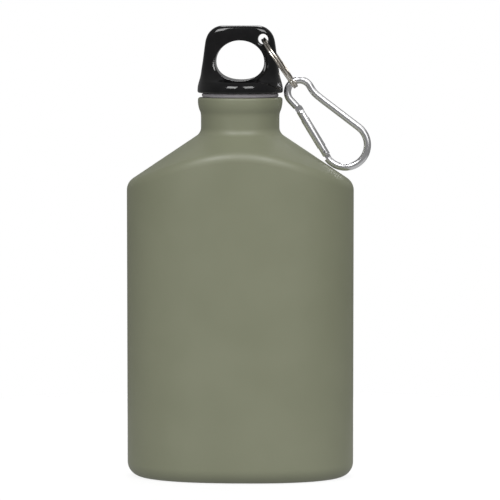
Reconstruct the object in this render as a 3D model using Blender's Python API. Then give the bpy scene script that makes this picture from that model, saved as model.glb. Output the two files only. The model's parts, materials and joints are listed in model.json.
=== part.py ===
"""Flat-sided aluminium canteen with a screw cap, a split ring and a small carabiner.

Metres, +Z up.  The origin is on the neck axis, in the plane that the foot stands on.
X runs along the wide side of the body and -Y is the front.
"""
import math

import bmesh
import bpy
from mathutils import Vector

MM = 0.001
GAP = 0.30 * MM                      # clearance between touching pieces

# body
HALF_WIDTH = 50.0 * MM
HALF_DEPTH = 30.0 * MM
SECTION_POWER = 2.1                  # 2 would be an ellipse
WALL = 1.0 * MM
BASE_THICKNESS = 1.2 * MM
FOOT_RADIUS = 6.5 * MM               # rounded edge around the foot
FOOT_LAND = 3.5 * MM                 # flat rim that the bottle stands on
BASE_RECESS = 0.8 * MM
SHOULDER_SLOPE = math.radians(33.8)  # cone of the shoulder, from horizontal
SHOULDER_END_Z = 130.2 * MM          # cone height at the half width
CREST_RADIUS = 6.3 * MM
ROUND_STEPS = 48

# neck and mouth
NECK_RADIUS = 17.25 * MM
NECK_FILLET = 4.5 * MM
COLLAR_RADIUS = 18.6 * MM
MOUTH_Z = 167.7 * MM

# thread: the two helices share pitch and phase, so they stay clear as the cap turns
PITCH = 4.0 * MM
THREAD_DEPTH = 0.9 * MM
BORE_RADIUS = 15.1 * MM              # root of the thread in the neck
PLUG_RADIUS = 13.85 * MM             # root of the thread on the plug
THREAD_BOTTOM = 157.4 * MM
THREAD_TOP = 166.2 * MM
ROWS_PER_TURN = 6

# cap and seal
CAP_BOTTOM = 169.6 * MM
PLUG_BOTTOM = 155.0 * MM
PLUG_BORE = 11.6 * MM
SPIGOT_RADIUS = 13.0 * MM
SPIGOT_TOP = 173.4 * MM
GASKET_INNER = 14.3 * MM
GASKET_OUTER = 16.9 * MM
FINGER_HOLE_Z = (175.2 * MM, 193.0 * MM)
FINGER_HOLE_WIDTH = 21.5 * MM
RING_HOLE = Vector((10.1, 0.0, 193.2)) * MM
RING_HOLE_RADIUS = 2.3 * MM

# split ring: hangs in the small hole of the cap, its plane holds the Y axis
RING_RADIUS = 12.6 * MM
RING_WIRE = 0.45 * MM
RING_LAYER = 0.53 * MM               # offset of each turn from the ring's mid plane
RING_HANG = Vector((0.566, 0.0, -0.8244)).normalized()
RING_OFFSET = 0.1 * MM               # wire centre, off the hole centre

# carabiner, in the XZ plane
SMALL_LOOP = Vector((26.05, 0.0, 169.95)) * MM
SMALL_LOOP_RADIUS = 5.3 * MM
BIG_LOOP = Vector((46.2, 0.0, 146.75)) * MM
BIG_LOOP_RADIUS = 9.75 * MM
BAR_RADIUS = 1.6 * MM
KNEE = Vector((32.5, 0.0, 169.4)) * MM    # small dip of the bar beside the small loop
GATE_PIVOT = Vector((26.9, 0.0, 160.6)) * MM
GATE_END = Vector((38.1, 0.0, 142.2)) * MM
GATE_RADIUS = 1.9 * MM
GATE_BORE = 1.15 * MM
TONGUE_HALF = 0.65 * MM              # half thickness of the flattened bar ends
SLOT_HALF = 0.95 * MM                # half width of the slots in the gate
PIN_RADIUS = 0.5 * MM

COLOURS = {
    "olive_paint": ((0.205, 0.214, 0.151), 0.45, 0.0),
    "black_plastic": ((0.010, 0.010, 0.011), 0.16, 0.0),
    "grey_silicone": ((0.085, 0.080, 0.082), 0.55, 0.0),
    "nickel_steel": ((0.62, 0.59, 0.54), 0.22, 1.0),
    "polished_aluminium": ((0.82, 0.82, 0.83), 0.18, 1.0),
    "spring_steel": ((0.50, 0.50, 0.52), 0.30, 1.0),
}


def clear_scene():
    for item in list(bpy.data.objects):
        bpy.data.objects.remove(item)


def material(name):
    found = bpy.data.materials.get(name)
    if found:
        return found
    colour, roughness, metallic = COLOURS[name]
    made = bpy.data.materials.new(name)
    made.use_nodes = True
    shader = made.node_tree.nodes["Principled BSDF"]
    shader.inputs["Base Color"].default_value = (*colour, 1.0)
    shader.inputs["Roughness"].default_value = roughness
    shader.inputs["Metallic"].default_value = metallic
    return made


def finish(bm, name, look, origin=None, smooth_angle=35.0):
    """Turn a bmesh in world coordinates into an object whose origin is given."""
    bmesh.ops.remove_doubles(bm, verts=bm.verts, dist=1e-7)
    bmesh.ops.recalc_face_normals(bm, faces=bm.faces)
    place = origin or Vector((0.0, 0.0, 0.0))
    bmesh.ops.translate(bm, verts=bm.verts, vec=-place)
    mesh = bpy.data.meshes.new(name)
    bm.to_mesh(mesh)
    bm.free()
    mesh.materials.append(material(look))
    mesh.shade_smooth()
    mesh.set_sharp_from_angle(angle=math.radians(smooth_angle))
    made = bpy.data.objects.new(name, mesh)
    bpy.context.scene.collection.objects.link(made)
    made.location = place
    return made


def skin(bm, rings, closed=False):
    """Join rings of equal length with quads; cap both ends unless the stack is closed."""
    rows = [[bm.verts.new(point) for point in ring] for ring in rings]
    count = len(rows[0])
    pairs = list(zip(rows, rows[1:]))
    if closed:
        pairs.append((rows[-1], rows[0]))
    for low, high in pairs:
        for i in range(count):
            j = (i + 1) % count
            bm.faces.new((low[i], low[j], high[j], high[i]))
    if not closed:
        bm.faces.new(list(reversed(rows[0])))
        bm.faces.new(rows[-1])


def turned(bm, profile, steps=ROUND_STEPS, centre=(0.0, 0.0), closed=False):
    """Rings around +Z for a list of (radius, z)."""
    rings = []
    for radius, z in profile:
        ring = []
        for i in range(steps):
            a = 2.0 * math.pi * i / steps
            ring.append((centre[0] + radius * math.cos(a), centre[1] + radius * math.sin(a), z))
        rings.append(ring)
    skin(bm, rings, closed)


def tube(bm, path, normals, radius, sides, closed=False):
    """Sweep a round section along a path, with the section's first axis given per point."""
    rings = []
    count = len(path)
    for i, point in enumerate(path):
        before = path[i - 1] if i > 0 or closed else path[i]
        after = path[(i + 1) % count] if i < count - 1 or closed else path[i]
        along = (after - before).normalized()
        first = normals[i] - along * normals[i].dot(along)
        first.normalize()
        second = along.cross(first)
        ring = []
        for k in range(sides):
            a = 2.0 * math.pi * k / sides
            ring.append(point + radius * (math.cos(a) * first + math.sin(a) * second))
        rings.append(ring)
    skin(bm, rings, closed)


def arc(centre, radius, start, end, steps):
    """Points of an arc in the XZ plane, angles in degrees from +X towards +Z."""
    points = []
    for i in range(steps + 1):
        a = math.radians(start + (end - start) * i / steps)
        points.append(centre + Vector((radius * math.cos(a), 0.0, radius * math.sin(a))))
    return points


# --- bottle -----------------------------------------------------------------------------

def plan_directions():
    """Directions around the neck axis, closer together at the narrow ends of the body."""
    found = []
    for i in range(ROUND_STEPS):
        t = 2.0 * math.pi * i / ROUND_STEPS
        squeezed = math.atan2(HALF_DEPTH * math.sin(t), HALF_WIDTH * math.cos(t)) % (2.0 * math.pi)
        found.append(0.5 * (t + squeezed))
    return found


def section_radius(direction, inset=0.0):
    """Distance from the neck axis to the body's wall."""
    wide = abs(math.cos(direction) / (HALF_WIDTH - inset)) ** SECTION_POWER
    deep = abs(math.sin(direction) / (HALF_DEPTH - inset)) ** SECTION_POWER
    return (wide + deep) ** (-1.0 / SECTION_POWER)


def cone_z(radius, inset=0.0):
    drop = inset / math.cos(SHOULDER_SLOPE)
    return SHOULDER_END_Z + (HALF_WIDTH - radius) * math.tan(SHOULDER_SLOPE) - drop


def shoulder(wall, inset, neck, fillet_low, fillet_high):
    """(radius, z) from the top of the wall, over the crest and the cone, to the neck."""
    turn = 0.5 * math.pi - SHOULDER_SLOPE
    points = []
    reach = fillet_low * math.tan(0.5 * turn)
    centre = (wall - fillet_low, cone_z(wall, inset) - reach)
    for i in range(6):
        a = turn * i / 5
        points.append((centre[0] + fillet_low * math.cos(a), centre[1] + fillet_low * math.sin(a)))
    reach = fillet_high * math.tan(0.5 * turn)
    centre = (neck + fillet_high, cone_z(neck, inset) + reach)
    arc_points = []
    for i in range(5):
        a = turn * (1.0 - i / 4)
        arc_points.append(
            (centre[0] - fillet_high * math.cos(a), centre[1] - fillet_high * math.sin(a))
        )
    first, last = points[-1], arc_points[0]
    points.append((0.5 * (first[0] + last[0]), 0.5 * (first[1] + last[1])))
    return points + arc_points


def foot(wall, radius, base):
    """(radius, z) along the rounded edge from the foot to the wall."""
    points = []
    for i in range(6):
        a = 0.5 * math.pi * i / 5
        points.append((wall - radius * (1.0 - math.sin(a)), base + radius * (1.0 - math.cos(a))))
    return points


def thread_height(direction, z, bottom, top, phase):
    """0 at the root and THREAD_DEPTH on the crest, faded out at both ends of the thread."""
    fade = min(1.0, max(0.0, min(z - bottom, top - z) / (0.35 * PITCH)))
    wave = 0.5 + 0.5 * math.cos(2.0 * math.pi * z / PITCH - direction + phase)
    return THREAD_DEPTH * wave * fade


def thread_levels(bottom, top):
    rows = round((top - bottom) / PITCH * ROWS_PER_TURN)
    return [bottom + (top - bottom) * i / rows for i in range(rows + 1)]


def bottle_column(direction):
    """One vertical cut through the shell: outside from the base up, then inside down."""
    wall = section_radius(direction)
    inner = section_radius(direction, WALL)
    foot_edge = wall - FOOT_RADIUS
    column = [
        (foot_edge - FOOT_LAND - 1.5 * MM, BASE_RECESS),
        (foot_edge - FOOT_LAND, 0.0),
    ]
    column += foot(wall, FOOT_RADIUS, 0.0)
    column += shoulder(wall, 0.0, NECK_RADIUS, CREST_RADIUS, NECK_FILLET)
    column += [
        (NECK_RADIUS, 159.4 * MM),
        (17.55 * MM, 161.3 * MM),
        (18.15 * MM, 162.8 * MM),
        (COLLAR_RADIUS, 165.3 * MM),
        (COLLAR_RADIUS, MOUTH_Z - 0.6 * MM),
        (COLLAR_RADIUS - 0.6 * MM, MOUTH_Z),
        (BORE_RADIUS + 0.5 * MM, MOUTH_Z),
    ]
    for z in reversed(thread_levels(THREAD_BOTTOM, THREAD_TOP)):
        height = thread_height(direction, z, THREAD_BOTTOM, THREAD_TOP, 0.0)
        column.append((BORE_RADIUS - height, z))
    column += reversed(shoulder(inner, WALL, BORE_RADIUS, CREST_RADIUS - WALL, 3.0 * MM))
    column += reversed(foot(inner, FOOT_RADIUS - WALL, BASE_THICKNESS + BASE_RECESS))
    return column


def make_bottle():
    directions = plan_directions()
    columns = [bottle_column(direction) for direction in directions]
    rings = []
    for level in range(len(columns[0])):
        ring = []
        for direction, column in zip(directions, columns):
            radius, z = column[level]
            ring.append((radius * math.cos(direction), radius * math.sin(direction), z))
        rings.append(ring)
    bm = bmesh.new()
    skin(bm, rings)
    return finish(bm, "bottle_shell", "olive_paint")


# --- cap --------------------------------------------------------------------------------

# height, half width, half depth and squareness of the loop's horizontal sections
CAP_SECTIONS = (
    (169.6, 18.4, 18.4, 2.0),
    (170.1, 18.8, 18.8, 2.0),
    (171.9, 18.8, 18.8, 2.0),
    (173.0, 18.55, 17.9, 2.0),
    (174.2, 18.2, 15.8, 2.1),
    (175.6, 17.85, 13.2, 2.3),
    (177.4, 17.4, 11.0, 2.6),
    (180.0, 17.0, 8.9, 3.0),
    (184.5, 16.3, 6.9, 3.6),
    (190.7, 15.5, 5.2, 4.0),
    (193.3, 15.0, 4.8, 4.0),
    (195.4, 14.1, 4.6, 4.0),
    (197.0, 12.8, 4.3, 4.0),
    (198.2, 11.2, 3.9, 3.6),
    (198.9, 9.4, 3.2, 3.2),
    (199.1, 8.2, 2.6, 3.0),
)


def blunt_ellipse(half_width, half_depth, power, count):
    points = []
    for i in range(count):
        a = 2.0 * math.pi * i / count
        c, s = math.cos(a), math.sin(a)
        x = half_width * math.copysign(abs(c) ** (2.0 / power), c)
        y = half_depth * math.copysign(abs(s) ** (2.0 / power), s)
        points.append((x, y))
    return points


def cutter(bm, name):
    made = finish(bm, name, "black_plastic")
    made.hide_render = True
    made.display_type = "WIRE"
    return made


def subtract(target, tool):
    step = target.modifiers.new(tool.name, "BOOLEAN")
    step.operation = "DIFFERENCE"
    step.solver = "EXACT"
    step.object = tool


def finger_hole_outline(count=40):
    """Round at the top, a little flatter at the bottom, widest just below the middle."""
    low, high = FINGER_HOLE_Z
    widest = low + 0.46 * (high - low)
    points = []
    for i in range(count):
        a = 2.0 * math.pi * i / count
        c, s = math.cos(a), math.sin(a)
        power = 2.0 if s >= 0.0 else 2.15
        reach = (high - widest) if s >= 0.0 else (widest - low)
        x = 0.5 * FINGER_HOLE_WIDTH * math.copysign(abs(c) ** (2.0 / power), c)
        points.append((x, widest + reach * math.copysign(abs(s) ** (2.0 / power), s)))
    return points


def make_cap():
    bm = bmesh.new()
    rings = []
    for height, half_width, half_depth, power in CAP_SECTIONS:
        outline = blunt_ellipse(half_width * MM, half_depth * MM, power, 40)
        rings.append([(x, y, height * MM) for x, y in outline])
    skin(bm, rings)
    cap = finish(bm, "cap_loop", "black_plastic", RING_HOLE)

    bm = bmesh.new()
    outline = finger_hole_outline()
    skin(bm, [[(x, y, z) for x, z in outline] for y in (-20.0 * MM, 20.0 * MM)])
    subtract(cap, cutter(bm, "finger_hole_cutter"))

    bm = bmesh.new()
    rings = []
    for y in (-20.0 * MM, 20.0 * MM):
        ring = []
        for i in range(20):
            a = 2.0 * math.pi * i / 20
            x = RING_HOLE.x + RING_HOLE_RADIUS * math.cos(a)
            ring.append((x, y, RING_HOLE.z + RING_HOLE_RADIUS * math.sin(a)))
        rings.append(ring)
    skin(bm, rings)
    subtract(cap, cutter(bm, "ring_hole_cutter"))

    bm = bmesh.new()
    socket = SPIGOT_RADIUS + GAP
    turned(bm, [(socket, CAP_BOTTOM - MM), (socket, SPIGOT_TOP + GAP)], 40)
    subtract(cap, cutter(bm, "plug_socket_cutter"))
    return cap


def make_plug():
    """Hollow inner stopper with the male thread; its spigot sits in the cap's socket."""
    levels = thread_levels(PLUG_BOTTOM + 0.8 * MM, THREAD_TOP - 0.6 * MM)
    rings = []
    directions = [2.0 * math.pi * i / ROUND_STEPS for i in range(ROUND_STEPS)]

    def ring(radius_of, z):
        return [
            (radius_of(a) * math.cos(a), radius_of(a) * math.sin(a), z) for a in directions
        ]

    shelf = CAP_BOTTOM - GAP
    for radius, z in (
        (PLUG_BORE, shelf - 2.2 * MM),
        (PLUG_BORE, PLUG_BOTTOM),
        (PLUG_RADIUS - 0.6 * MM, PLUG_BOTTOM),
    ):
        rings.append(ring(lambda a, r=radius: r, z))
    for z in levels:
        rings.append(
            ring(
                lambda a, z=z: PLUG_RADIUS
                + thread_height(a, z, levels[0], levels[-1], math.pi),
                z,
            )
        )
    for radius, z in ((PLUG_RADIUS, shelf), (SPIGOT_RADIUS, shelf), (SPIGOT_RADIUS, SPIGOT_TOP)):
        rings.append(ring(lambda a, r=radius: r, z))
    bm = bmesh.new()
    skin(bm, rings)
    return finish(bm, "threaded_plug", "black_plastic")


def make_gasket():
    low = MOUTH_Z + 0.25 * MM
    high = CAP_BOTTOM - 0.25 * MM
    edge = 0.25 * MM
    bm = bmesh.new()
    turned(
        bm,
        [
            (GASKET_INNER, low),
            (GASKET_OUTER - edge, low),
            (GASKET_OUTER, low + edge),
            (GASKET_OUTER, high - edge),
            (GASKET_OUTER - edge, high),
            (GASKET_INNER, high),
        ],
        closed=True,
    )
    return finish(bm, "neck_gasket", "grey_silicone")


# --- split ring -------------------------------------------------------------------------

def make_split_ring():
    """Two turns of wire side by side, with one short step from layer to layer."""
    centre = RING_HOLE + RING_HANG * (RING_RADIUS + RING_OFFSET)
    axis = Vector((-RING_HANG.z, 0.0, RING_HANG.x)).normalized()
    across = Vector((0.0, 1.0, 0.0))
    step_start, step_end, last = 325.0, 352.0, 676.0
    count = 84
    path = []
    normals = []
    for i in range(count + 1):
        turn = last * i / count
        blend = min(1.0, max(0.0, (turn - step_start) / (step_end - step_start)))
        blend = blend * blend * (3.0 - 2.0 * blend)
        a = math.radians(turn + 60.0)
        out = math.cos(a) * RING_HANG + math.sin(a) * across
        path.append(centre + RING_RADIUS * out + axis * RING_LAYER * (2.0 * blend - 1.0))
        normals.append(axis)
    bm = bmesh.new()
    tube(bm, path, normals, RING_WIRE, 8)
    return finish(bm, "split_ring", "nickel_steel", RING_HOLE, 50.0)


# --- carabiner --------------------------------------------------------------------------

GATE_ALONG = (GATE_END - GATE_PIVOT).normalized()
GATE_INWARD = Vector((-GATE_ALONG.z, 0.0, GATE_ALONG.x))
GATE_LENGTH = (GATE_END - GATE_PIVOT).length
SIDE = Vector((0.0, 1.0, 0.0))


def at_gate(along, inward=0.0, side=0.0):
    """A point given along the gate from its pivot, towards the inside, and sideways."""
    return GATE_PIVOT + GATE_ALONG * along + GATE_INWARD * inward + SIDE * side


def plate(bm, outline, half):
    """A flat piece with a (along, inward) outline, centred on the carabiner's plane."""
    skin(bm, [[at_gate(u, w, side) for u, w in outline] for side in (-half, half)])


def carabiner_path():
    """Centre line of the bar from the pivot end, round both loops, to the latch end."""
    away = BIG_LOOP - KNEE
    spine = math.degrees(math.atan2(away.z, away.x))
    spine += math.degrees(math.asin(BIG_LOOP_RADIUS / away.length))
    small = arc(SMALL_LOOP, SMALL_LOOP_RADIUS, 223.0, 28.0, 14)
    big = arc(BIG_LOOP, BIG_LOOP_RADIUS, spine + 90.0, -143.0, 14)
    start = small[0] + Vector((1.0, 0.0, -1.06)) * 2.7 * MM
    knee = [small[-1].lerp(KNEE, 0.6), KNEE.lerp(big[0], 0.06), KNEE.lerp(big[0], 0.5)]
    return [start] + small + knee + big


def round_plate(centre, radius, start, end, steps):
    """Outline points of a rounded plate end in gate coordinates."""
    points = []
    for i in range(steps + 1):
        a = math.radians(start + (end - start) * i / steps)
        points.append((centre[0] + radius * math.cos(a), centre[1] + radius * math.sin(a)))
    return points


def latch_along():
    return GATE_LENGTH - 2.0 * MM


def make_carabiner_body():
    """Round bar with a flattened tongue at the pivot and a hooked one at the latch."""
    path = carabiner_path()
    bm = bmesh.new()
    tube(bm, path, [SIDE.copy() for _ in path], BAR_RADIUS, 12)
    body = finish(bm, "carabiner_body", "polished_aluminium", SMALL_LOOP, 50.0)

    bm = bmesh.new()
    outline = round_plate((0.0, 0.0), 1.45 * MM, -90.0, 90.0, 8)
    outline += [
        (-1.4 * MM, 1.85 * MM),
        (-2.9 * MM, 1.75 * MM),
        (-4.3 * MM, 0.9 * MM),
        (-4.3 * MM, -0.8 * MM),
        (-2.6 * MM, -1.60 * MM),
    ]
    plate(bm, outline, TONGUE_HALF)
    pivot_tongue = cutter(bm, "pivot_tongue_shape")

    pin = latch_along()
    room = PIN_RADIUS + GAP
    bm = bmesh.new()
    outline = [
        (GATE_LENGTH + 2.3 * MM, -1.0 * MM),
        (GATE_LENGTH + 2.3 * MM, 1.2 * MM),
        (GATE_LENGTH + 1.0 * MM, 1.35 * MM),
        (pin + room, 1.35 * MM),
    ]
    outline += round_plate((pin, 0.0), room, 0.0, -180.0, 8)
    outline += [
        (pin - room, 0.75 * MM),
        (pin - room - 0.75 * MM, 0.45 * MM),
        (pin - room - 0.75 * MM, -0.95 * MM),
        (pin - room - 0.3 * MM, -1.35 * MM),
    ]
    plate(bm, outline, TONGUE_HALF)
    latch_tongue = cutter(bm, "latch_tongue_shape")

    for tool in (pivot_tongue, latch_tongue):
        step = body.modifiers.new(tool.name, "BOOLEAN")
        step.operation = "UNION"
        step.solver = "EXACT"
        step.object = tool

    bm = bmesh.new()
    hole = round_plate((0.0, 0.0), PIN_RADIUS + 0.2 * MM, 0.0, 337.5, 15)
    plate(bm, hole, 4.0 * MM)
    subtract(body, cutter(bm, "pivot_hole_cutter"))
    return body


def make_gate():
    """Hollow round gate, slotted at both ends, bored for its spring and plunger."""
    count = 16
    rings = []
    for along, radius in (
        (GATE_LENGTH, GATE_RADIUS - 0.35 * MM),
        (GATE_LENGTH - 0.4 * MM, GATE_RADIUS),
        (-1.0 * MM, GATE_RADIUS),
        (-1.3 * MM, GATE_RADIUS - 0.35 * MM),
    ):
        ring = []
        for k in range(count):
            a = 2.0 * math.pi * k / count
            ring.append(at_gate(along, radius * math.cos(a), radius * math.sin(a)))
        rings.append(ring)
    bm = bmesh.new()
    skin(bm, rings)
    gate = finish(bm, "carabiner_gate", "polished_aluminium", GATE_PIVOT, 50.0)

    wide = 4.0 * MM
    slots = (
        (-6.0 * MM, 3.0 * MM, "pivot_slot_cutter"),
        (latch_along() - 2.3 * MM, GATE_LENGTH + 4.0 * MM, "latch_slot_cutter"),
    )
    for start, end, name in slots:
        bm = bmesh.new()
        plate(bm, [(start, -wide), (end, -wide), (end, wide), (start, wide)], SLOT_HALF)
        subtract(gate, cutter(bm, name))

    bm = bmesh.new()
    rings = []
    for along in (-4.0 * MM, 13.5 * MM):
        ring = []
        for k in range(count):
            a = 2.0 * math.pi * (k + 0.5) / count
            ring.append(at_gate(along, GATE_BORE * math.cos(a), GATE_BORE * math.sin(a)))
        rings.append(ring)
    skin(bm, rings)
    subtract(gate, cutter(bm, "gate_bore_cutter"))

    for along, name in ((0.0, "rivet_hole_cutter"), (latch_along(), "latch_hole_cutter")):
        bm = bmesh.new()
        hole = round_plate((along, 0.0), PIN_RADIUS + 0.12 * MM, 0.0, 337.5, 15)
        plate(bm, hole, 4.0 * MM)
        subtract(gate, cutter(bm, name))
    return gate


def cross_pin(name, along, head):
    """A pin across the gate; a head radius gives it a domed head on each side."""
    half = GATE_RADIUS + 0.05 * MM
    rings = []
    if head:
        stations = (
            (-half - 0.40 * MM, 0.45 * head),
            (-half - 0.25 * MM, 0.9 * head),
            (-half, head),
            (-half, PIN_RADIUS),
            (half, PIN_RADIUS),
            (half, head),
            (half + 0.25 * MM, 0.9 * head),
            (half + 0.40 * MM, 0.45 * head),
        )
    else:
        stations = ((-half + 0.2 * MM, PIN_RADIUS), (half - 0.2 * MM, PIN_RADIUS))
    for side, radius in stations:
        ring = []
        for k in range(12):
            a = 2.0 * math.pi * k / 12
            ring.append(at_gate(along + radius * math.cos(a), radius * math.sin(a), side))
        rings.append(ring)
    bm = bmesh.new()
    skin(bm, rings)
    return finish(bm, name, "spring_steel", at_gate(along))


def make_plunger():
    bm = bmesh.new()
    rings = []
    for along, radius in ((3.4, 0.55), (3.7, 0.95), (4.7, 0.95), (4.7, 0.40), (6.3, 0.40)):
        ring = []
        for k in range(12):
            a = 2.0 * math.pi * k / 12
            w, side = radius * MM * math.cos(a), radius * MM * math.sin(a)
            ring.append(at_gate(along * MM, w, side))
        rings.append(ring)
    skin(bm, rings)
    return finish(bm, "gate_plunger", "spring_steel")


def make_spring():
    turns, steps = 7, 10
    start, end = 5.15 * MM, 13.1 * MM
    coil, wire = 0.78 * MM, 0.16 * MM
    path = []
    for i in range(turns * steps + 1):
        share = i / (turns * steps)
        a = 2.0 * math.pi * turns * share
        path.append(at_gate(start + (end - start) * share, coil * math.cos(a), coil * math.sin(a)))
    bm = bmesh.new()
    tube(bm, path, [GATE_ALONG for _ in path], wire, 5)
    return finish(bm, "gate_spring", "spring_steel")


def main():
    clear_scene()
    make_bottle()
    make_cap()
    make_plug()
    make_gasket()
    make_split_ring()
    make_carabiner_body()
    make_gate()
    cross_pin("gate_pivot_rivet", 0.0, 0.95 * MM)
    cross_pin("latch_pin", latch_along(), 0.0)
    make_plunger()
    make_spring()


main()
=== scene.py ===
"""Looks of the aluminium canteen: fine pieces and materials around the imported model."""
import json
import math

import bmesh
import bpy
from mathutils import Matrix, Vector


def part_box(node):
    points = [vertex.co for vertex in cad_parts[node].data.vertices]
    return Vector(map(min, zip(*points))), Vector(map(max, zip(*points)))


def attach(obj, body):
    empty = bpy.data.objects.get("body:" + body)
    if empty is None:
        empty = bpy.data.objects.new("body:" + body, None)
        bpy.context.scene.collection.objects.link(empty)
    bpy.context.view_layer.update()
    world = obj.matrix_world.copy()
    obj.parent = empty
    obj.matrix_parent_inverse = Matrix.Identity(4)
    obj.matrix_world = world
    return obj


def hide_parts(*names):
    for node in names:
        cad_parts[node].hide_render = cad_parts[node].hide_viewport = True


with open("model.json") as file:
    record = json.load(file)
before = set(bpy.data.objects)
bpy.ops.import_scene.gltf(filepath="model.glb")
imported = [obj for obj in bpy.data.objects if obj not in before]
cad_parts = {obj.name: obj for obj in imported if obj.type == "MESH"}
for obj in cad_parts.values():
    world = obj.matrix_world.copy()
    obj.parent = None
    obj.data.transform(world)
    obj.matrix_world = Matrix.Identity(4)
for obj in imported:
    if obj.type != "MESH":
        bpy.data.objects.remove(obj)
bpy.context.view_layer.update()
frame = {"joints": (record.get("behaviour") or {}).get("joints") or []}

MM = 0.001
joints = {joint["name"]: joint for joint in frame["joints"]}
shell_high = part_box("bottle_shell")[1]
cap_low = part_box("cap_loop")[0]
plug_low, plug_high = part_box("threaded_plug")
gasket_low, gasket_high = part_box("neck_gasket")

# body, in the sizes of the CAD shell
HALF_WIDTH = shell_high.x
HALF_DEPTH = shell_high.y
MOUTH_Z = shell_high.z
SECTION_POWER = 2.1
WALL = 1.0 * MM
BASE_THICKNESS = 1.2 * MM
FOOT_RADIUS = 6.5 * MM
FOOT_LAND = 3.5 * MM
BASE_RECESS = 0.8 * MM
SHOULDER_SLOPE = math.radians(33.8)
SHOULDER_END_Z = 130.2 * MM
CREST_RADIUS = 6.3 * MM
NECK_RADIUS = 17.25 * MM
NECK_FILLET = 4.5 * MM
COLLAR_RADIUS = 18.6 * MM
BODY_STEPS = 160                     # columns round the body

# thread
PITCH = 4.0 * MM
THREAD_DEPTH = 0.9 * MM
BORE_RADIUS = 15.1 * MM
PLUG_RADIUS = 13.85 * MM
THREAD_BOTTOM = 157.4 * MM
THREAD_TOP = 166.2 * MM
ROWS_PER_TURN = 14

# cap
CAP_BOTTOM = cap_low.z
SPIGOT_RADIUS = 13.0 * MM
SPIGOT_TOP = plug_high.z
PLUG_BOTTOM = plug_low.z
PLUG_BORE = 11.6 * MM
FINGER_HOLE_Z = (175.2 * MM, 192.6 * MM)
FINGER_HOLE_WIDTH = 21.5 * MM
RING_HOLE = Vector(joints["ring_swing"]["pos_m"])
RING_HOLE_RADIUS = 2.3 * MM
GAP = 0.3 * MM                       # clearance between pieces
CAP_SIDES = 120
PLUG_SIDES = 144
GASKET_SIDES = 128

# split ring
RING_RADIUS = 12.6 * MM
RING_WIRE = 0.45 * MM                # half thickness of the wire
RING_LAYER = 0.53 * MM               # offset of each turn from the ring's mid plane
RING_HANG = Vector((0.566, 0.0, -0.8244)).normalized()
RING_OFFSET = 0.1 * MM               # wire centre, off the hole centre

# carabiner
SMALL_LOOP = Vector(joints["carabiner_swing"]["pos_m"])
SMALL_LOOP_RADIUS = 5.3 * MM
BIG_LOOP = Vector((46.2, 0.0, 146.75)) * MM
BIG_LOOP_RADIUS = 9.75 * MM
BAR_RADIUS = 1.6 * MM
KNEE = Vector((32.5, 0.0, 169.4)) * MM    # small dip of the bar beside the small loop
GATE_PIVOT = Vector(joints["gate_hinge"]["pos_m"])
GATE_END = Vector((38.1, 0.0, 142.2)) * MM
GATE_RADIUS = 1.9 * MM
GATE_BORE = 1.15 * MM
TONGUE_HALF = 0.65 * MM              # half thickness of the flattened bar ends
SLOT_HALF = 0.95 * MM                # half width of the slots in the gate
PIN_RADIUS = 0.5 * MM


# --- mesh helpers -----------------------------------------------------------------------

def finish_mesh(bm, name, materials, smooth_angle=40.0):
    bmesh.ops.remove_doubles(bm, verts=bm.verts, dist=1e-7)
    bmesh.ops.recalc_face_normals(bm, faces=bm.faces)
    mesh = bpy.data.meshes.new(name)
    bm.to_mesh(mesh)
    bm.free()
    for look in materials:
        mesh.materials.append(look)
    mesh.shade_smooth()
    mesh.set_sharp_from_angle(angle=math.radians(smooth_angle))
    made = bpy.data.objects.new(name, mesh)
    bpy.context.scene.collection.objects.link(made)
    return made


def skin(bm, rings, closed=False, paint=None):
    """Quads between rings of equal length; paint(index) gives a strip's material slot."""
    rows = [[bm.verts.new(point) for point in ring] for ring in rings]
    count = len(rows[0])
    pairs = list(zip(rows, rows[1:]))
    if closed:
        pairs.append((rows[-1], rows[0]))
    for index, (low, high) in enumerate(pairs):
        for i in range(count):
            j = (i + 1) % count
            face = bm.faces.new((low[i], low[j], high[j], high[i]))
            face.material_index = paint(index) if paint else 0
    if not closed:
        bm.faces.new(list(reversed(rows[0]))).material_index = paint(0) if paint else 0
        bm.faces.new(rows[-1]).material_index = paint(len(pairs) - 1) if paint else 0


def ring_at(radius, z, steps):
    points = []
    for i in range(steps):
        a = 2.0 * math.pi * i / steps
        points.append((radius * math.cos(a), radius * math.sin(a), z))
    return points


def sweep(bm, path, normals, outline):
    """Sweep an outline of (first, second) offsets along a path."""
    rings = []
    for i, point in enumerate(path):
        before = path[max(i - 1, 0)]
        after = path[min(i + 1, len(path) - 1)]
        along = (after - before).normalized()
        first = (normals[i] - along * normals[i].dot(along)).normalized()
        second = along.cross(first)
        rings.append([point + u * first + v * second for u, v in outline])
    skin(bm, rings)


def circle(radius, sides):
    points = []
    for k in range(sides):
        a = 2.0 * math.pi * k / sides
        points.append((radius * math.cos(a), radius * math.sin(a)))
    return points


def arc(centre, radius, start, end, steps):
    points = []
    for i in range(steps + 1):
        a = math.radians(start + (end - start) * i / steps)
        points.append(centre + Vector((radius * math.cos(a), 0.0, radius * math.sin(a))))
    return points


def smooth_path(points, rounds=3):
    """Corner cutting that keeps both ends."""
    for _ in range(rounds):
        cut = [points[0]]
        for a, b in zip(points, points[1:]):
            cut += [a.lerp(b, 0.25), a.lerp(b, 0.75)]
        points = cut + [points[-1]]
    return points


def boolean(target, tool, operation):
    step = target.modifiers.new(tool.name, "BOOLEAN")
    step.operation = operation
    step.solver = "EXACT"
    step.object = tool
    tool.hide_render = True
    tool.hide_viewport = True


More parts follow.
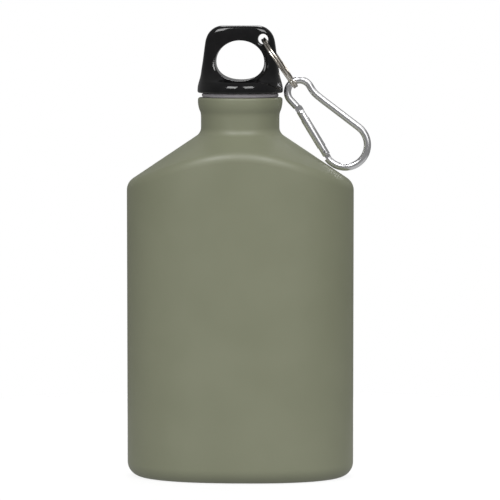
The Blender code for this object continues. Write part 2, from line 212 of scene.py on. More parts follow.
def settled(made, name):
    """The evaluated mesh as a plain object with no modifiers; the source is removed."""
    depsgraph = bpy.context.evaluated_depsgraph_get()
    mesh = bpy.data.meshes.new_from_object(made.evaluated_get(depsgraph))
    mesh.name = name
    result = bpy.data.objects.new(name, mesh)
    bpy.context.scene.collection.objects.link(result)
    tools = [step.object for step in made.modifiers if step.type == "BOOLEAN"]
    for item in [made, *tools]:
        bpy.data.objects.remove(item)
    return result


# --- materials --------------------------------------------------------------------------

class Look:
    """A Principled material with short calls for its texture nodes."""

    def __init__(self, name, roughness, metallic=0.0, ior=1.5, coat=0.0, coat_roughness=0.05):
        self.material = bpy.data.materials.new(name)
        self.material.use_nodes = True
        self.nodes = self.material.node_tree.nodes
        self.links = self.material.node_tree.links
        self.shader = self.nodes["Principled BSDF"]
        self.shader.inputs["Roughness"].default_value = roughness
        self.shader.inputs["Metallic"].default_value = metallic
        self.shader.inputs["IOR"].default_value = ior
        self.shader.inputs["Coat Weight"].default_value = coat
        self.shader.inputs["Coat Roughness"].default_value = coat_roughness
        self.place = self.nodes.new("ShaderNodeTexCoord").outputs["Object"]

    def stretched(self, scale):
        mapping = self.nodes.new("ShaderNodeMapping")
        mapping.inputs["Scale"].default_value = scale
        self.links.new(self.place, mapping.inputs["Vector"])
        return mapping.outputs["Vector"]

    def noise(self, scale, detail=3.0, roughness=0.5, vector=None):
        node = self.nodes.new("ShaderNodeTexNoise")
        node.inputs["Scale"].default_value = scale
        node.inputs["Detail"].default_value = detail
        node.inputs["Roughness"].default_value = roughness
        self.links.new(vector or self.place, node.inputs["Vector"])
        return node.outputs["Fac"]

    def range(self, value, low, high, to_low, to_high):
        node = self.nodes.new("ShaderNodeMapRange")
        node.inputs["From Min"].default_value = low
        node.inputs["From Max"].default_value = high
        node.inputs["To Min"].default_value = to_low
        node.inputs["To Max"].default_value = to_high
        self.links.new(value, node.inputs["Value"])
        return node.outputs["Result"]

    def math(self, operation, a, b):
        node = self.nodes.new("ShaderNodeMath")
        node.operation = operation
        for socket, value in zip(node.inputs, (a, b)):
            if isinstance(value, (int, float)):
                socket.default_value = value
            else:
                self.links.new(value, socket)
        return node.outputs["Value"]

    def mix(self, factor, a, b):
        node = self.nodes.new("ShaderNodeMix")
        node.data_type = "RGBA"
        self.links.new(factor, node.inputs["Factor"])
        for socket, value in ((node.inputs[6], a), (node.inputs[7], b)):
            if isinstance(value, tuple):
                socket.default_value = (*value, 1.0)
            else:
                self.links.new(value, socket)
        return node.outputs[2]

    def height(self):
        split = self.nodes.new("ShaderNodeSeparateXYZ")
        self.links.new(self.place, split.inputs["Vector"])
        return split.outputs["Z"]

    def colour(self, value):
        socket = self.shader.inputs["Base Color"]
        if isinstance(value, tuple):
            socket.default_value = (*value, 1.0)
        else:
            self.links.new(value, socket)

    def roughness(self, value):
        self.links.new(value, self.shader.inputs["Roughness"])

    def bump(self, *layers):
        """Layers of (height, distance in metres), from the coarsest to the finest."""
        normal = None
        for value, distance in layers:
            node = self.nodes.new("ShaderNodeBump")
            node.inputs["Strength"].default_value = 1.0
            node.inputs["Distance"].default_value = distance
            self.links.new(value, node.inputs["Height"])
            if normal:
                self.links.new(normal, node.inputs["Normal"])
            normal = node.outputs["Normal"]
        self.links.new(normal, self.shader.inputs["Normal"])


def powder_coat():
    """Olive powder coat: soft orange peel, a fine grain, and a rubbed edge under the foot."""
    look = Look("olive_powder_coat", 0.42)
    look.shader.inputs["Specular IOR Level"].default_value = 0.62
    body = look.mix(
        look.range(look.noise(38.0, 2.0), 0.35, 0.65, 0.0, 1.0),
        (0.172, 0.181, 0.119),
        (0.184, 0.193, 0.129),
    )
    grain = look.noise(5200.0, 2.0)
    speckled = look.mix(look.range(grain, 0.35, 0.70, 0.0, 0.12), body, (0.215, 0.222, 0.158))
    rub_noise = look.noise(900.0, 4.0, 0.65)
    low = look.range(look.height(), 0.0, 0.0009, 0.62, 0.10)
    rubbed = look.range(look.math("SUBTRACT", low, rub_noise), 0.0, 0.05, 0.0, 0.8)
    look.colour(look.mix(rubbed, speckled, (0.33, 0.33, 0.31)))
    look.roughness(look.range(look.noise(160.0, 3.0), 0.3, 0.7, 0.39, 0.46))
    look.bump((look.noise(620.0, 2.0), 0.000030), (grain, 0.000006))
    return look.material


def bare_aluminium():
    """Drawn inside wall: dull, with faint lines along the neck axis."""
    look = Look("drawn_aluminium", 0.38, 1.0)
    lines = look.noise(1.0, 3.0, 0.6, look.stretched((2600.0, 2600.0, 40.0)))
    look.colour(look.mix(lines, (0.62, 0.62, 0.61), (0.78, 0.78, 0.77)))
    look.roughness(look.range(lines, 0.3, 0.7, 0.30, 0.46))
    look.bump((lines, 0.000010))
    return look.material


def gloss_black():
    """Moulded cap: deep gloss with a slow ripple, hair scratches and a dusty bloom."""
    look = Look("gloss_black_plastic", 0.10)
    bloom = look.noise(240.0, 4.0, 0.6)
    dust = look.range(bloom, 0.4, 0.8, 0.0, 1.0)
    look.colour(look.mix(dust, (0.0030, 0.0030, 0.0032), (0.0060, 0.0060, 0.0065)))
    hair = look.noise(1.0, 2.0, 0.5, look.stretched((420.0, 420.0, 5200.0)))
    scratch = look.range(hair, 0.70, 0.76, 0.0, 1.0)
    gloss = look.range(bloom, 0.3, 0.7, 0.07, 0.12)
    look.roughness(look.math("ADD", gloss, look.math("MULTIPLY", scratch, 0.12)))
    look.bump((look.noise(150.0, 1.0), 0.000012), (scratch, 0.000001))
    return look.material


def satin_black():
    """Stopper under the cap: fine spark-eroded mould texture."""
    look = Look("satin_black_plastic", 0.36)
    grain = look.noise(3400.0, 3.0, 0.6)
    look.colour(look.mix(grain, (0.010, 0.010, 0.011), (0.019, 0.019, 0.020)))
    look.roughness(look.range(grain, 0.3, 0.7, 0.30, 0.44))
    look.bump((grain, 0.000008))
    return look.material


def silicone():
    """Moulded seal: dull grey, a little cloudy, with a fine tooth."""
    look = Look("grey_silicone_rubber", 0.50)
    cloud = look.noise(420.0, 3.0)
    look.colour(look.mix(cloud, (0.300, 0.285, 0.300), (0.380, 0.362, 0.380)))
    look.roughness(look.range(look.noise(2600.0, 2.0), 0.3, 0.7, 0.42, 0.60))
    look.bump((look.noise(1900.0, 2.0), 0.000008))
    return look.material


def nickel():
    """Warm nickel plate over sprung wire, a little tarnished, with a fine grain."""
    look = Look("nickel_plate", 0.20, 1.0)
    tarnish = look.noise(300.0, 4.0, 0.6)
    dulled = look.range(tarnish, 0.35, 0.7, 0.0, 1.0)
    look.colour(look.mix(dulled, (0.70, 0.655, 0.59), (0.56, 0.515, 0.45)))
    fine = look.noise(4200.0, 2.0)
    look.roughness(look.range(fine, 0.3, 0.7, 0.15, 0.27))
    look.bump((fine, 0.000003))
    return look.material


def polished_aluminium(name, line_scale):
    """Tumble-polished bar: bright, with fine lines in the plane of the carabiner."""
    look = Look(name, 0.22, 0.97)
    patch = look.noise(260.0, 3.0)
    look.colour(look.mix(patch, (0.88, 0.88, 0.89), (0.80, 0.80, 0.815)))
    fine = look.noise(1.0, 2.0, 0.55, look.stretched(line_scale))
    gloss = look.range(fine, 0.3, 0.7, 0.18, 0.24)
    look.roughness(look.math("ADD", gloss, look.range(patch, 0.3, 0.7, 0.0, 0.05)))
    look.bump((fine, 0.0000010))
    return look.material


def bright_steel():
    """Small turned pins and spring wire."""
    look = Look("bright_steel", 0.26, 1.0)
    turned = look.noise(2800.0, 3.0, 0.6)
    look.colour(look.mix(turned, (0.52, 0.52, 0.53), (0.64, 0.64, 0.65)))
    look.roughness(look.range(turned, 0.3, 0.7, 0.20, 0.34))
    look.bump((turned, 0.000003))
    return look.material


# --- bottle -----------------------------------------------------------------------------

def plan_directions():
    """Directions round the body, closer together at the tight ends of the oval."""
    found = []
    for i in range(BODY_STEPS):
        t = 2.0 * math.pi * i / BODY_STEPS
        squeezed = math.atan2(HALF_DEPTH * math.sin(t), HALF_WIDTH * math.cos(t)) % (2.0 * math.pi)
        found.append(0.5 * (t + squeezed))
    return found


def section_radius(direction, inset=0.0):
    wide = abs(math.cos(direction) / (HALF_WIDTH - inset)) ** SECTION_POWER
    deep = abs(math.sin(direction) / (HALF_DEPTH - inset)) ** SECTION_POWER
    return (wide + deep) ** (-1.0 / SECTION_POWER)


def cone_z(radius, inset=0.0):
    drop = inset / math.cos(SHOULDER_SLOPE)
    return SHOULDER_END_Z + (HALF_WIDTH - radius) * math.tan(SHOULDER_SLOPE) - drop


def shoulder(wall, inset, neck, fillet_low, fillet_high, steps=14):
    """(radius, z) over the crest and the cone to the neck; a fillet is given by its radius."""
    turn = 0.5 * math.pi - SHOULDER_SLOPE
    points = []
    reach = fillet_low * math.tan(0.5 * turn)
    centre = (wall - fillet_low, cone_z(wall, inset) - reach)
    for i in range(steps + 1):
        a = turn * i / steps
        points.append((centre[0] + fillet_low * math.cos(a), centre[1] + fillet_low * math.sin(a)))
    reach = fillet_high * math.tan(0.5 * turn)
    centre = (neck + fillet_high, cone_z(neck, inset) + reach)
    high = []
    for i in range(steps + 1):
        a = turn * (1.0 - i / steps)
        high.append((centre[0] - fillet_high * math.cos(a), centre[1] - fillet_high * math.sin(a)))
    first, last = points[-1], high[0]
    for share in (0.2, 0.4, 0.6, 0.8):
        points.append(
            (first[0] + share * (last[0] - first[0]), first[1] + share * (last[1] - first[1]))
        )
    return points + high


def foot(wall, radius, base, steps=12):
    """(radius, z) round the edge under the wall, from the rim up."""
    points = []
    for i in range(steps + 1):
        a = 0.5 * math.pi * i / steps
        points.append((wall - radius * (1.0 - math.sin(a)), base + radius * (1.0 - math.cos(a))))
    return points


def thread_height(direction, z, bottom, top, phase):
    """Height of the rounded thread over its root; it fades out at both ends."""
    fade = min(1.0, max(0.0, min(z - bottom, top - z) / (0.35 * PITCH)))
    wave = 0.5 + 0.5 * math.cos(2.0 * math.pi * z / PITCH - direction + phase)
    return THREAD_DEPTH * wave * fade


def thread_levels(bottom, top):
    rows = round((top - bottom) / PITCH * ROWS_PER_TURN)
    return [bottom + (top - bottom) * i / rows for i in range(rows + 1)]


def collar():
    """(radius, z) up the neck, round the rolled collar and over the lip."""
    lip = 1.0 * MM
    points = [
        (NECK_RADIUS, 156.5 * MM),
        (NECK_RADIUS, 159.0 * MM),
        (17.30 * MM, 160.0 * MM),
        (17.42 * MM, 160.8 * MM),
        (17.62 * MM, 161.45 * MM),
        (17.95 * MM, 162.2 * MM),
        (18.25 * MM, 163.2 * MM),
        (18.46 * MM, 164.3 * MM),
        (COLLAR_RADIUS, 165.4 * MM),
        (COLLAR_RADIUS, MOUTH_Z - 1.4 * MM),
    ]
    for i in range(7):
        a = 0.5 * math.pi * i / 6
        points.append(
            (COLLAR_RADIUS - lip * (1.0 - math.cos(a)), MOUTH_Z - lip * (1.0 - math.sin(a)))
        )
    return points + [(BORE_RADIUS + 0.5 * MM, MOUTH_Z), (BORE_RADIUS + 0.1 * MM, MOUTH_Z - 0.4 * MM)]


def bottle_column(direction):
    """(radius, z) up the outside and down the inside, and how many points are outside."""
    wall = section_radius(direction)
    inner = section_radius(direction, WALL)
    foot_edge = wall - FOOT_RADIUS
    column = [
        (foot_edge - FOOT_LAND - 4.0 * MM, BASE_RECESS),
        (foot_edge - FOOT_LAND - 1.5 * MM, BASE_RECESS),
        (foot_edge - FOOT_LAND - 1.1 * MM, 0.85 * BASE_RECESS),
        (foot_edge - FOOT_LAND - 0.4 * MM, 0.15 * BASE_RECESS),
        (foot_edge - FOOT_LAND, 0.0),
    ]
    column += foot(wall, FOOT_RADIUS, 0.0)
    wall_start = column[-1][1]
    outside = shoulder(wall, 0.0, NECK_RADIUS, CREST_RADIUS, NECK_FILLET)
    for i in range(1, 6):
        column.append((wall, wall_start + (outside[0][1] - wall_start) * i / 6))
    column += outside
    column += collar()
    outer_count = len(column)
    for z in reversed(thread_levels(THREAD_BOTTOM, THREAD_TOP)):
        height = thread_height(direction, z, THREAD_BOTTOM, THREAD_TOP, 0.0)
        column.append((BORE_RADIUS - height, z))
    column += reversed(shoulder(inner, WALL, BORE_RADIUS, CREST_RADIUS - WALL, 3.0 * MM, 6))
    column += reversed(foot(inner, FOOT_RADIUS - WALL, BASE_THICKNESS + BASE_RECESS, 6))
    return column, outer_count


def make_bottle(paint, metal):
    directions = plan_directions()
    columns = [bottle_column(direction) for direction in directions]
    outer_count = columns[0][1]
    rings = []
    for level in range(len(columns[0][0])):
        ring = []
        for direction, (column, _) in zip(directions, columns):
            radius, z = column[level]
            ring.append((radius * math.cos(direction), radius * math.sin(direction), z))
        rings.append(ring)
    bm = bmesh.new()
    painted = outer_count - 3            # the paint stops on the lip
    skin(bm, rings, paint=lambda strip: 0 if strip < painted else 1)
    made = finish_mesh(bm, "painted_bottle", [paint, metal])
    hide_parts("bottle_shell")
    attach(made, "bottle")


# --- cap --------------------------------------------------------------------------------

# height, half width, half depth and squareness of the loop's horizontal sections, in mm
CAP_SECTIONS = (
    (169.6, 18.4, 18.4, 2.0),
    (170.1, 18.8, 18.8, 2.0),
    (171.1, 18.8, 18.76, 2.0),
    (171.8, 18.76, 18.62, 2.0),
    (172.5, 18.68, 18.36, 2.0),
    (173.1, 18.55, 18.02, 2.0),
    (173.7, 18.42, 17.48, 2.0),
    (174.4, 18.22, 16.5, 2.1),
    (175.6, 17.85, 13.9, 2.3),
    (177.4, 17.4, 11.2, 2.6),
    (180.0, 17.0, 8.9, 3.0),
    (184.5, 16.3, 6.9, 3.6),
    (190.7, 15.5, 5.2, 4.0),
    (193.3, 15.0, 4.8, 4.0),
    (195.4, 14.1, 4.6, 4.0),
    (197.0, 12.8, 4.3, 4.0),
    (198.2, 11.2, 3.9, 3.6),
    (198.9, 9.4, 3.2, 3.2),
    (199.1, 8.2, 2.6, 3.0),
)


def blunt_ellipse(half_width, half_depth, power, count):
    points = []
    for i in range(count):
        a = 2.0 * math.pi * i / count
        c, s = math.cos(a), math.sin(a)
        x = half_width * math.copysign(abs(c) ** (2.0 / power), c)
        y = half_depth * math.copysign(abs(s) ** (2.0 / power), s)
        points.append((x, y))
    return points


def eased_sections(rows, steps):
    """Rows of numbers with steps cubic in-between rows (Catmull-Rom) in every gap."""
    found = []
    last = len(rows) - 1
    for i in range(last):
        p0, p1, p2, p3 = rows[max(i - 1, 0)], rows[i], rows[i + 1], rows[min(i + 2, last)]
        for k in range(steps):
            t = k / steps
            row = []
            for a, b, c, d in zip(p0, p1, p2, p3):
                slope_in, slope_out = 0.5 * (c - a), 0.5 * (d - b)
                row.append(
                    (2 * t ** 3 - 3 * t ** 2 + 1) * b
                    + (t ** 3 - 2 * t ** 2 + t) * slope_in
                    + (3 * t ** 2 - 2 * t ** 3) * c
                    + (t ** 3 - t ** 2) * slope_out
                )
            found.append(row)
    return found + [list(rows[-1])]


def finger_hole_outline(count=96):
    """(x, z) of the egg-shaped hole; its lower half is a little squarer."""
    low, high = FINGER_HOLE_Z
    widest = low + 0.46 * (high - low)
    points = []
    for i in range(count):
        a = 2.0 * math.pi * i / count
        c, s = math.cos(a), math.sin(a)
        power = 2.0 if s >= 0.0 else 2.15
        reach = (high - widest) if s >= 0.0 else (widest - low)
        x = 0.5 * FINGER_HOLE_WIDTH * math.copysign(abs(c) ** (2.0 / power), c)
        points.append((x, widest + reach * math.copysign(abs(s) ** (2.0 / power), s)))
    return points


def make_cap(look):
    bm = bmesh.new()
    rings = []
    for height, half_width, half_depth, power in eased_sections(CAP_SECTIONS, 3):
        outline = blunt_ellipse(half_width * MM, half_depth * MM, power, CAP_SIDES)
        rings.append([(x, y, height * MM) for x, y in outline])
    skin(bm, rings)
    blank = finish_mesh(bm, "cap_blank", [look])

    bm = bmesh.new()
    outline = finger_hole_outline()
    skin(bm, [[(x, y, z) for x, z in outline] for y in (-20.0 * MM, 20.0 * MM)])
    boolean(blank, finish_mesh(bm, "finger_hole_tool", []), "DIFFERENCE")

    bm = bmesh.new()
    outline = [(RING_HOLE.x + u, RING_HOLE.z + v) for u, v in circle(RING_HOLE_RADIUS, 48)]
    skin(bm, [[(x, y, z) for x, z in outline] for y in (-20.0 * MM, 20.0 * MM)])
    boolean(blank, finish_mesh(bm, "ring_hole_tool", []), "DIFFERENCE")

    bm = bmesh.new()
    socket = SPIGOT_RADIUS + GAP
    skin(bm, [ring_at(socket, z, 96) for z in (CAP_BOTTOM - MM, SPIGOT_TOP + GAP)])
    boolean(blank, finish_mesh(bm, "socket_tool", []), "DIFFERENCE")

    remesh = blank.modifiers.new("even_mesh", "REMESH")
    remesh.mode = "VOXEL"
    remesh.voxel_size = 0.30 * MM
    remesh.use_smooth_shade = True
    soften = blank.modifiers.new("soft_edges", "SMOOTH")
    soften.factor = 0.5
    soften.iterations = 14
    made = settled(blank, "loop_cap")
    made.data.shade_smooth()
    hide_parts("cap_loop")
    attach(made, "cap")


def make_plug(look):
    """Hollow stopper from its bore, over the bottom and up the thread, to the spigot in the cap."""
    levels = thread_levels(PLUG_BOTTOM + 0.8 * MM, THREAD_TOP - 0.6 * MM)
    shelf = CAP_BOTTOM - GAP
    directions = [2.0 * math.pi * i / PLUG_SIDES for i in range(PLUG_SIDES)]
    rings = [
        ring_at(PLUG_BORE - 0.5 * MM, shelf - 2.2 * MM, PLUG_SIDES),
        ring_at(PLUG_BORE, shelf - 2.7 * MM, PLUG_SIDES),
        ring_at(PLUG_BORE, PLUG_BOTTOM + 0.3 * MM, PLUG_SIDES),
        ring_at(PLUG_BORE + 0.3 * MM, PLUG_BOTTOM, PLUG_SIDES),
        ring_at(PLUG_RADIUS - 0.9 * MM, PLUG_BOTTOM, PLUG_SIDES),
        ring_at(PLUG_RADIUS - 0.6 * MM, PLUG_BOTTOM + 0.2 * MM, PLUG_SIDES),
    ]
    for z in levels:
        ring = []
        for a in directions:
            radius = PLUG_RADIUS + thread_height(a, z, levels[0], levels[-1], math.pi)
            ring.append((radius * math.cos(a), radius * math.sin(a), z))
        rings.append(ring)
    rings += [
        ring_at(PLUG_RADIUS, shelf, PLUG_SIDES),
        ring_at(SPIGOT_RADIUS, shelf, PLUG_SIDES),
        ring_at(SPIGOT_RADIUS, SPIGOT_TOP - 0.4 * MM, PLUG_SIDES),
        ring_at(SPIGOT_RADIUS - 0.4 * MM, SPIGOT_TOP, PLUG_SIDES),
    ]
    bm = bmesh.new()
    skin(bm, rings)
    made = finish_mesh(bm, "screw_stopper", [look])
    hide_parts("threaded_plug")
    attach(made, "cap")


def make_gasket(look):
    """Ring with a half-round outer edge, pressed a little into the gaps above and below."""
    inner = 14.3 * MM
    low, high = gasket_low.z - 0.2 * MM, gasket_high.z + 0.2 * MM
    half = 0.5 * (high - low)
    outer = gasket_high.x - half
    rings = [ring_at(inner, high, GASKET_SIDES), ring_at(inner, low, GASKET_SIDES)]
    for i in range(13):
        a = math.pi * (i / 12 - 0.5)
        radius, z = outer + half * math.cos(a), low + half + half * math.sin(a)
        rings.append(ring_at(radius, z, GASKET_SIDES))
    bm = bmesh.new()
    skin(bm, rings, closed=True)
    made = finish_mesh(bm, "silicone_seal", [look])
    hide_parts("neck_gasket")
    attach(made, "seal")


# --- ring and carabiner -----------------------------------------------------------------

def rounded_box(half_first, half_second, corner, steps=4):
    points = []
    for quarter in range(4):
        cx = (half_first - corner) * (1 if quarter in (0, 3) else -1)
        cy = (half_second - corner) * (1 if quarter in (0, 1) else -1)
        for i in range(steps + 1):
            a = 0.5 * math.pi * (quarter + i / steps)
            points.append((cx + corner * math.cos(a), cy + corner * math.sin(a)))
    return points


def make_ring(look):
    """Almost two turns of square wire that step across to the second layer."""
    centre = RING_HOLE + RING_HANG * (RING_RADIUS + RING_OFFSET)
    axis = Vector((-RING_HANG.z, 0.0, RING_HANG.x)).normalized()
    across = Vector((0.0, 1.0, 0.0))
    step_start, step_end, last = 325.0, 352.0, 676.0    # degrees along the wire
    count = 340
    path = []
    for i in range(count + 1):
        turn = last * i / count
        blend = min(1.0, max(0.0, (turn - step_start) / (step_end - step_start)))
        blend = blend * blend * (3.0 - 2.0 * blend)
        a = math.radians(turn + 60.0)
        out = math.cos(a) * RING_HANG + math.sin(a) * across
        path.append(centre + RING_RADIUS * out + axis * RING_LAYER * (2.0 * blend - 1.0))
    bm = bmesh.new()
    sweep(bm, path, [axis] * len(path), rounded_box(RING_WIRE, RING_WIRE, 0.22 * MM))
    made = finish_mesh(bm, "sprung_ring", [look], 50.0)
    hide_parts("split_ring")
    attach(made, "ring")


GATE_ALONG = (GATE_END - GATE_PIVOT).normalized()
GATE_INWARD = Vector((-GATE_ALONG.z, 0.0, GATE_ALONG.x))
GATE_LENGTH = (GATE_END - GATE_PIVOT).length
LATCH_ALONG = GATE_LENGTH - 2.0 * MM
SIDE = Vector((0.0, 1.0, 0.0))


def at_gate(along, inward=0.0, side=0.0):
    """World place from the pivot: along the gate, towards the bar, and sideways."""
    return GATE_PIVOT + GATE_ALONG * along + GATE_INWARD * inward + SIDE * side


def plate(name, outline, half):
    """Flat plate with an outline of (along, inward), half thick to each side."""
    bm = bmesh.new()
    skin(bm, [[at_gate(u, w, side) for u, w in outline] for side in (-half, half)])
    return finish_mesh(bm, name, [])


def round_plate(centre, radius, start, end, steps):
    points = []
    for i in range(steps + 1):
        a = math.radians(start + (end - start) * i / steps)
        points.append((centre[0] + radius * math.cos(a), centre[1] + radius * math.sin(a)))
    return points


def bar_path():
    """Centre line of the bar: small loop, knee, straight spine and big loop."""
    away = BIG_LOOP - KNEE
    spine = math.degrees(math.atan2(away.z, away.x))
    spine += math.degrees(math.asin(BIG_LOOP_RADIUS / away.length))
    small = arc(SMALL_LOOP, SMALL_LOOP_RADIUS, 223.0, 28.0, 30)
    big = arc(BIG_LOOP, BIG_LOOP_RADIUS, spine + 90.0, -143.0, 34)
    start = small[0] + Vector((1.0, 0.0, -1.06)) * 2.7 * MM
    knee = [small[-1].lerp(KNEE, 0.6), KNEE.lerp(big[0], 0.06), KNEE.lerp(big[0], 0.5)]
    return smooth_path([start] + small + knee + big, 2)


def soft_edges(made):
    bevel = made.modifiers.new("soft_edges", "BEVEL")
    bevel.width = 0.12 * MM
    bevel.segments = 2
    bevel.limit_method = "ANGLE"
    bevel.angle_limit = math.radians(50.0)


def make_carabiner(look):
    """Bent bar with a flat tongue at each end: one for the pivot, one notched for the latch."""
    path = bar_path()
    bm = bmesh.new()
    sweep(bm, path, [SIDE] * len(path), circle(BAR_RADIUS, 32))
    bar = finish_mesh(bm, "bar_blank", [look], 50.0)

    outline = round_plate((0.0, 0.0), 1.45 * MM, -90.0, 90.0, 24)
    outline += [
        (-1.4 * MM, 1.85 * MM),
        (-2.9 * MM, 1.75 * MM),
        (-4.3 * MM, 0.9 * MM),
        (-4.3 * MM, -0.8 * MM),
        (-2.6 * MM, -1.60 * MM),
    ]
    boolean(bar, plate("pivot_tongue_tool", outline, TONGUE_HALF), "UNION")
    pin, room = LATCH_ALONG, PIN_RADIUS + GAP
    outline = [
        (GATE_LENGTH + 2.3 * MM, -1.0 * MM),
        (GATE_LENGTH + 2.3 * MM, 1.2 * MM),
        (GATE_LENGTH + 1.0 * MM, 1.35 * MM),
        (pin + room, 1.35 * MM),
    ]
    outline += round_plate((pin, 0.0), room, 0.0, -180.0, 20)
    outline += [
        (pin - room, 0.75 * MM),
        (pin - room - 0.75 * MM, 0.45 * MM),
        (pin - room - 0.75 * MM, -0.95 * MM),
        (pin - room - 0.3 * MM, -1.35 * MM),
    ]
    boolean(bar, plate("latch_tongue_tool", outline, TONGUE_HALF), "UNION")
    hole = round_plate((0.0, 0.0), PIN_RADIUS + 0.2 * MM, 0.0, 352.5, 47)
    boolean(bar, plate("pivot_hole_tool", hole, 4.0 * MM), "DIFFERENCE")
    made = settled(bar, "carabiner_bar")
    made.data.set_sharp_from_angle(angle=math.radians(35.0))
    soft_edges(made)
    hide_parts("carabiner_body")
    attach(made, "carabiner")


def make_gate(look):
    """Round tube with a slot at each end, a bore for the spring and two cross holes."""
    rings = []
    for along, radius in (
        (GATE_LENGTH, GATE_RADIUS - 0.45 * MM),
        (GATE_LENGTH - 0.12 * MM, GATE_RADIUS - 0.15 * MM),
        (GATE_LENGTH - 0.4 * MM, GATE_RADIUS),
        (-1.0 * MM, GATE_RADIUS),
        (-1.22 * MM, GATE_RADIUS - 0.12 * MM),
        (-1.3 * MM, GATE_RADIUS - 0.35 * MM),
    ):
        rings.append([at_gate(along, u, v) for u, v in circle(radius, 48)])
    bm = bmesh.new()
    skin(bm, rings)
    blank = finish_mesh(bm, "gate_blank", [look], 50.0)
    wide = 4.0 * MM
    slots = (
        (-6.0 * MM, 3.0 * MM, "pivot_slot_tool"),
        (LATCH_ALONG - 2.3 * MM, GATE_LENGTH + 4.0 * MM, "latch_slot_tool"),
    )
    for start, end, name in slots:
        outline = [(start, -wide), (end, -wide), (end, wide), (start, wide)]
        boolean(blank, plate(name, outline, SLOT_HALF), "DIFFERENCE")
    bm = bmesh.new()
    rings = []
    for along in (-4.0 * MM, 13.5 * MM):
        rings.append([at_gate(along, u, v) for u, v in circle(GATE_BORE, 40)])
    skin(bm, rings)
    boolean(blank, finish_mesh(bm, "bore_tool", []), "DIFFERENCE")
    for along, name in ((0.0, "rivet_hole_tool"), (LATCH_ALONG, "latch_hole_tool")):
        hole = round_plate((along, 0.0), PIN_RADIUS + 0.12 * MM, 0.0, 352.5, 47)
        boolean(blank, plate(name, hole, 4.0 * MM), "DIFFERENCE")
    made = settled(blank, "wire_gate_tube")
    made.data.set_sharp_from_angle(angle=math.radians(35.0))
    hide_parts("carabiner_gate")
    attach(made, "gate")


def make_pin(name, node, along, head, body, look):
    """A cross pin, with a domed head on each side if head is its radius."""
    half = GATE_RADIUS + 0.05 * MM
    profile = [(-half + 0.2 * MM, PIN_RADIUS), (half - 0.2 * MM, PIN_RADIUS)]
    if head:
        dome = []
        for i in range(7):
            a = 0.5 * math.pi * i / 6
            dome.append((half + 0.40 * MM * math.sin(a), head * (0.25 + 0.75 * math.cos(a))))
        profile = [(-side, radius) for side, radius in reversed(dome)]
        profile += [(-half, PIN_RADIUS), (half, PIN_RADIUS)]
        profile += dome
    rings = []
    for side, radius in profile:
        rings.append([at_gate(along + u, v, side) for u, v in circle(radius, 32)])
    bm = bmesh.new()
    skin(bm, rings)
    made = finish_mesh(bm, name, [look], 60.0)
    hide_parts(node)
    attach(made, body)


def make_spring(look):
    turns, steps = 7, 28
    start, end = 5.15 * MM, 13.1 * MM
    coil, wire = 0.78 * MM, 0.16 * MM
    path = []
    for i in range(turns * steps + 1):
        share = i / (turns * steps)
        a = 2.0 * math.pi * turns * share
        path.append(at_gate(start + (end - start) * share, coil * math.cos(a), coil * math.sin(a)))
    bm = bmesh.new()
    sweep(bm, path, [GATE_ALONG] * len(path), circle(wire, 10))
    made = finish_mesh(bm, "return_spring", [look])
    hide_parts("gate_spring")
    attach(made, "gate")


# distance from the pivot and radius, in mm: rounded nose, head, and stem inside the spring
PLUNGER_PROFILE = (
    (3.4, 0.45),
    (3.5, 0.75),
    (3.7, 0.95),
    (4.6, 0.95),
    (4.7, 0.88),
    (4.7, 0.40),
    (6.2, 0.40),
    (6.3, 0.3),
)


def make_plunger(look):
    rings = []
    for along, radius in PLUNGER_PROFILE:
        rings.append([at_gate(along * MM, u, v) for u, v in circle(radius * MM, 32)])
    bm = bmesh.new()
    skin(bm, rings)
    made = finish_mesh(bm, "spring_plunger", [look])
    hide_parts("gate_plunger")
    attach(made, "gate")


# --- stage ------------------------------------------------------------------------------

VIEW_AZIMUTH = math.radians(2.5)
CAMERA_DISTANCE = 1.4
CAMERA_HEIGHT = 0.209
AIM_HEIGHT = 0.1003
AIM_RIGHT = 0.0043
FIELD = 0.2206                       # metres across the frame at the object
SENSOR = 36.0
LIGHT_TARGET = Vector((0.0, 0.0, 0.12))
ROOM_LIGHT = 0.20                    # strength of the world as light; to the camera it is 1
FLOOR_RADIUS = 0.30
FLOOR_ALPHA = 0.30
FLOOR_GLOW = 0.58

# name, azimuth, elevation, distance, side, power in watts, and whether gloss mirrors it
STUDIO_LAMPS = (
    ("softbox_left", -24.5, 46.0, 1.6, 0.60, 9.5, True),
    ("softbox_right", 29.5, 46.0, 1.6, 0.60, 8.0, True),
    ("side_panel", 85.0, 38.0, 1.5, 0.50, 2.6, False),
    ("fill_left", -30.0, 10.0, 1.8, 1.00, 10.0, False),
    ("fill_right", 34.0, 10.0, 1.8, 1.00, 8.0, False),
    ("back_right", 140.0, 20.0, 1.8, 1.00, 9.0, False),
    ("back_left", 215.0, 20.0, 1.8, 1.00, 7.0, False),
    ("back_softbox", 180.0, 48.0, 1.7, 0.60, 7.0, True),
)
METAL_LAMPS = (
    ("metal_panel", 35.0, 20.0, 1.6, 0.90, 3.6, True),
    ("metal_sheen", 92.0, 52.0, 1.6, 0.90, 2.4, True),
)


def make_camera():
    right = Vector((math.cos(VIEW_AZIMUTH), math.sin(VIEW_AZIMUTH), 0.0))
    back = Vector((math.sin(VIEW_AZIMUTH), -math.cos(VIEW_AZIMUTH), 0.0))
    place = back * CAMERA_DISTANCE + Vector((0.0, 0.0, CAMERA_HEIGHT))
    aim = right * AIM_RIGHT + Vector((0.0, 0.0, AIM_HEIGHT))
    data = bpy.data.cameras.new("camera")
    data.sensor_width = SENSOR
    data.lens = SENSOR * (aim - place).length / FIELD
    data.clip_start = 0.01
    data.clip_end = 50.0
    camera = bpy.data.objects.new("camera", data)
    bpy.context.scene.collection.objects.link(camera)
    camera.location = place
    camera.rotation_euler = (aim - place).to_track_quat("-Z", "Y").to_euler()
    bpy.context.scene.camera = camera


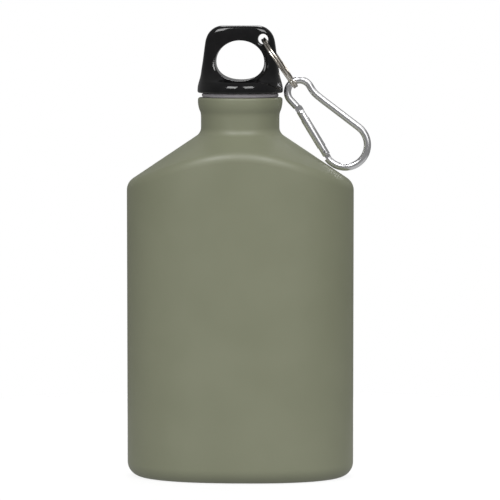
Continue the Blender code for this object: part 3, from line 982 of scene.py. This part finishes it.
def softbox(name, azimuth, elevation, distance, side, power, mirrored):
    """A square lamp that faces the object; gloss shows it only if it is mirrored."""
    a, e = math.radians(azimuth), math.radians(elevation)
    away = Vector((math.sin(a) * math.cos(e), -math.cos(a) * math.cos(e), math.sin(e)))
    data = bpy.data.lights.new(name, "AREA")
    data.shape = "RECTANGLE"
    data.size = side
    data.size_y = side
    data.energy = power
    lamp = bpy.data.objects.new(name, data)
    lamp.visible_glossy = mirrored
    bpy.context.scene.collection.objects.link(lamp)
    lamp.location = LIGHT_TARGET + away * distance
    lamp.rotation_euler = (-away).to_track_quat("-Z", "Y").to_euler()
    return lamp


def light_metal_only(lamps):
    """Keep these lamps' light on the ring and the carabiner."""
    hardware = bpy.data.collections.new("hardware")
    for name in ("sprung_ring", "carabiner_bar", "wire_gate_tube", "pivot_rivet"):
        hardware.objects.link(bpy.data.objects[name])
    for lamp in lamps:
        lamp.light_linking.receiver_collection = hardware


def make_floor():
    """A round sheet of back-lit, half-clear acrylic that takes a faint shadow."""
    bm = bmesh.new()
    bmesh.ops.create_circle(bm, cap_ends=True, segments=96, radius=FLOOR_RADIUS)
    look = Look("pale_floor", 0.6)
    shade = look.noise(6.0, 2.0)
    look.colour(look.mix(shade, (0.50, 0.50, 0.50), (0.52, 0.52, 0.52)))
    look.shader.inputs["Emission Color"].default_value = (1.0, 1.0, 1.0, 1.0)
    look.shader.inputs["Emission Strength"].default_value = FLOOR_GLOW
    look.shader.inputs["Alpha"].default_value = FLOOR_ALPHA
    floor = finish_mesh(bm, "floor", [look.material])


def make_world():
    """White backdrop in the picture; the room that lights the object is dimmer."""
    world = bpy.data.worlds.new("studio")
    world.use_nodes = True
    nodes, links = world.node_tree.nodes, world.node_tree.links
    background = nodes["Background"]
    background.inputs["Color"].default_value = (1.0, 1.0, 1.0, 1.0)
    seen = nodes.new("ShaderNodeLightPath").outputs["Is Camera Ray"]
    strength = nodes.new("ShaderNodeMix")
    links.new(seen, strength.inputs["Factor"])
    strength.inputs["A"].default_value = ROOM_LIGHT
    strength.inputs["B"].default_value = 1.0
    links.new(strength.outputs["Result"], background.inputs["Strength"])
    bpy.context.scene.world = world


def main():
    paint = powder_coat()
    metal = bare_aluminium()
    steel = bright_steel()
    bar_metal = polished_aluminium("polished_bar", (900.0, 5200.0, 900.0))
    gate_metal = polished_aluminium("polished_gate", (2400.0, 5200.0, 1500.0))
    make_bottle(paint, metal)
    make_cap(gloss_black())
    make_plug(satin_black())
    make_gasket(silicone())
    make_ring(nickel())
    make_carabiner(bar_metal)
    make_gate(gate_metal)
    make_pin("pivot_rivet", "gate_pivot_rivet", 0.0, 0.95 * MM, "carabiner", gate_metal)
    make_pin("latch_cross_pin", "latch_pin", LATCH_ALONG, 0.0, "gate", steel)
    make_spring(steel)
    make_plunger(steel)
    make_camera()
    for lamp in STUDIO_LAMPS:
        softbox(*lamp)
    light_metal_only([softbox(*lamp) for lamp in METAL_LAMPS])
    make_floor()
    make_world()
    bpy.context.scene.view_settings.view_transform = "Standard"


main()
